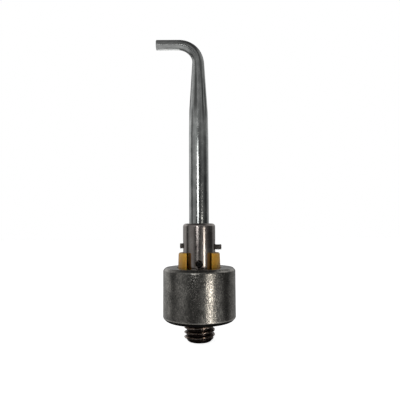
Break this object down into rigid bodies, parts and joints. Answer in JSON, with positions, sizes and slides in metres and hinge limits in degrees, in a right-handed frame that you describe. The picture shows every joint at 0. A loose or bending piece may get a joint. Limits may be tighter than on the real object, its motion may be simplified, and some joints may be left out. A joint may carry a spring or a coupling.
{
  "type": "flame sensor probe",
  "caption": "Bent steel sensing rod clamped in a collar that turns on an insulated post, above a round base with a threaded mounting stud.",
  "frame": {"origin": "on the mounting stud's axis, in the plane of the base's underside, which seats on whatever the stud is screwed into", "axes": "+Z along the rod, away from the stud; the rod's bent tip points along -X; the slot through the insulator runs along Y"},
  "size_m": [0.0262, 0.0236, 0.1006],
  "materials": {
    "rod_steel": "bright drawn steel, slightly greenish",
    "turned_steel": "fine turned, warm grey",
    "base_steel": "dull dark grey, mottled and scuffed",
    "stud_steel": "brown-black oxide with bright worn crests",
    "black_oxide": "black oxide, satin",
    "amber_insulator": "moulded amber high-temperature plastic, satin",
    "bright_steel": "zinc-plated fasteners"
  },
  "bodies": {
    "base": {"base_body": "base_steel", "mounting_stud": "stud_steel", "slotted_insulator": "amber_insulator", "electrode_post": "turned_steel", "insulating_washer": "amber_insulator", "flat_washer": "bright_steel", "spring_washer": "bright_steel", "lock_nut": "bright_steel", "insulating_disc": "amber_insulator"},
    "collar": {"clamp_collar": "turned_steel"},
    "rod": {"sensing_rod": "rod_steel"},
    "left_screw": {"left_clamp_screw": "black_oxide"},
    "right_screw": {"right_clamp_screw": "black_oxide"},
    "front_screw": {"front_lock_screw": "black_oxide"},
    "rear_screw": {"rear_lock_screw": "black_oxide"}
  },
  "joints": [
    {"name": "collar_turn", "type": "hinge", "parent": "base", "child": "collar", "pos_m": [0, 0, 0.0182], "axis": [0, 0, 1], "continuous": true},
    {"name": "rod_height", "type": "slide", "parent": "collar", "child": "rod", "axis": [0, 0, 1], "range_m": [0, 0.002]},
    {"name": "left_screw_travel", "type": "slide", "parent": "collar", "child": "left_screw", "axis": [-1, 0, 0], "range_m": [0, 0.0015]},
    {"name": "right_screw_travel", "type": "slide", "parent": "collar", "child": "right_screw", "axis": [1, 0, 0], "range_m": [0, 0.0015]},
    {"name": "front_screw_travel", "type": "slide", "parent": "collar", "child": "front_screw", "axis": [0, -1, 0], "range_m": [0, 0.0004]},
    {"name": "rear_screw_travel", "type": "slide", "parent": "collar", "child": "rear_screw", "axis": [0, 1, 0], "range_m": [0, 0.0004]}
  ]
}
